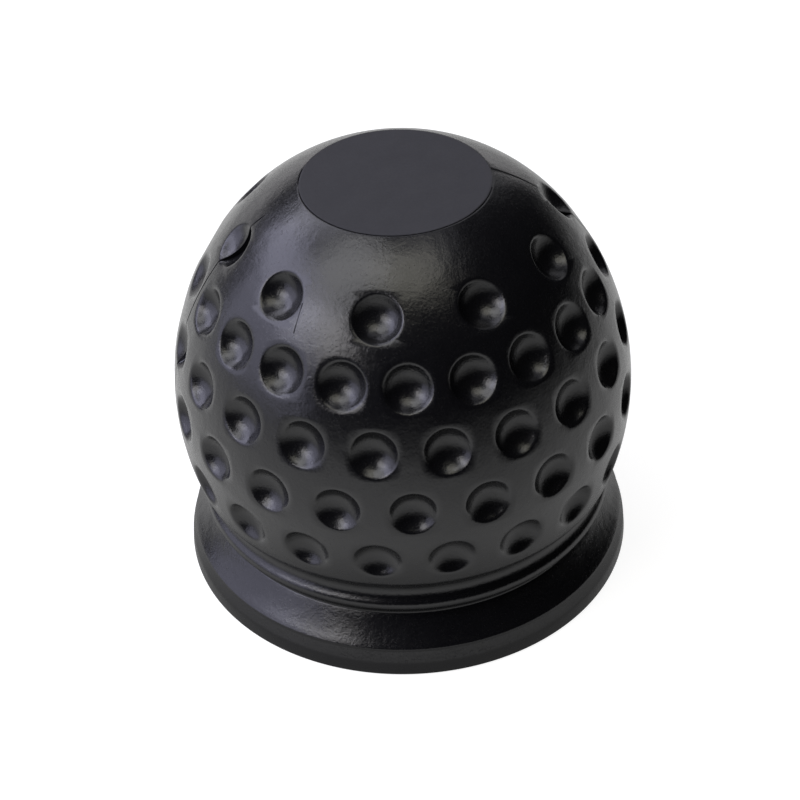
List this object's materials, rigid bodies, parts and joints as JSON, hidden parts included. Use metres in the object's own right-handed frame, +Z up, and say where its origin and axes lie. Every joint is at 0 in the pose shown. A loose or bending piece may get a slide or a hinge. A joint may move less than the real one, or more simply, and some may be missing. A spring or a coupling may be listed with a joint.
{
  "type": "tow ball cover",
  "caption": "Black rubber cover for a standard tow ball: a dimpled ball with a flat top, on a beaded neck that flares to a lipped base, open below.",
  "frame": {"origin": "centre of the base plane, on the axis of the ball", "axes": "+Z up the axis, from the open base to the flat top; X lies in the mould's parting plane and -Y is the side that faces the camera, which stands a little towards -X"},
  "size_m": [0.07, 0.07, 0.0652],
  "materials": {
    "rubber": "satin, as moulded, with a smoother flat top"
  },
  "bodies": {
    "root": {"cover": "rubber"}
  },
  "joints": []
}
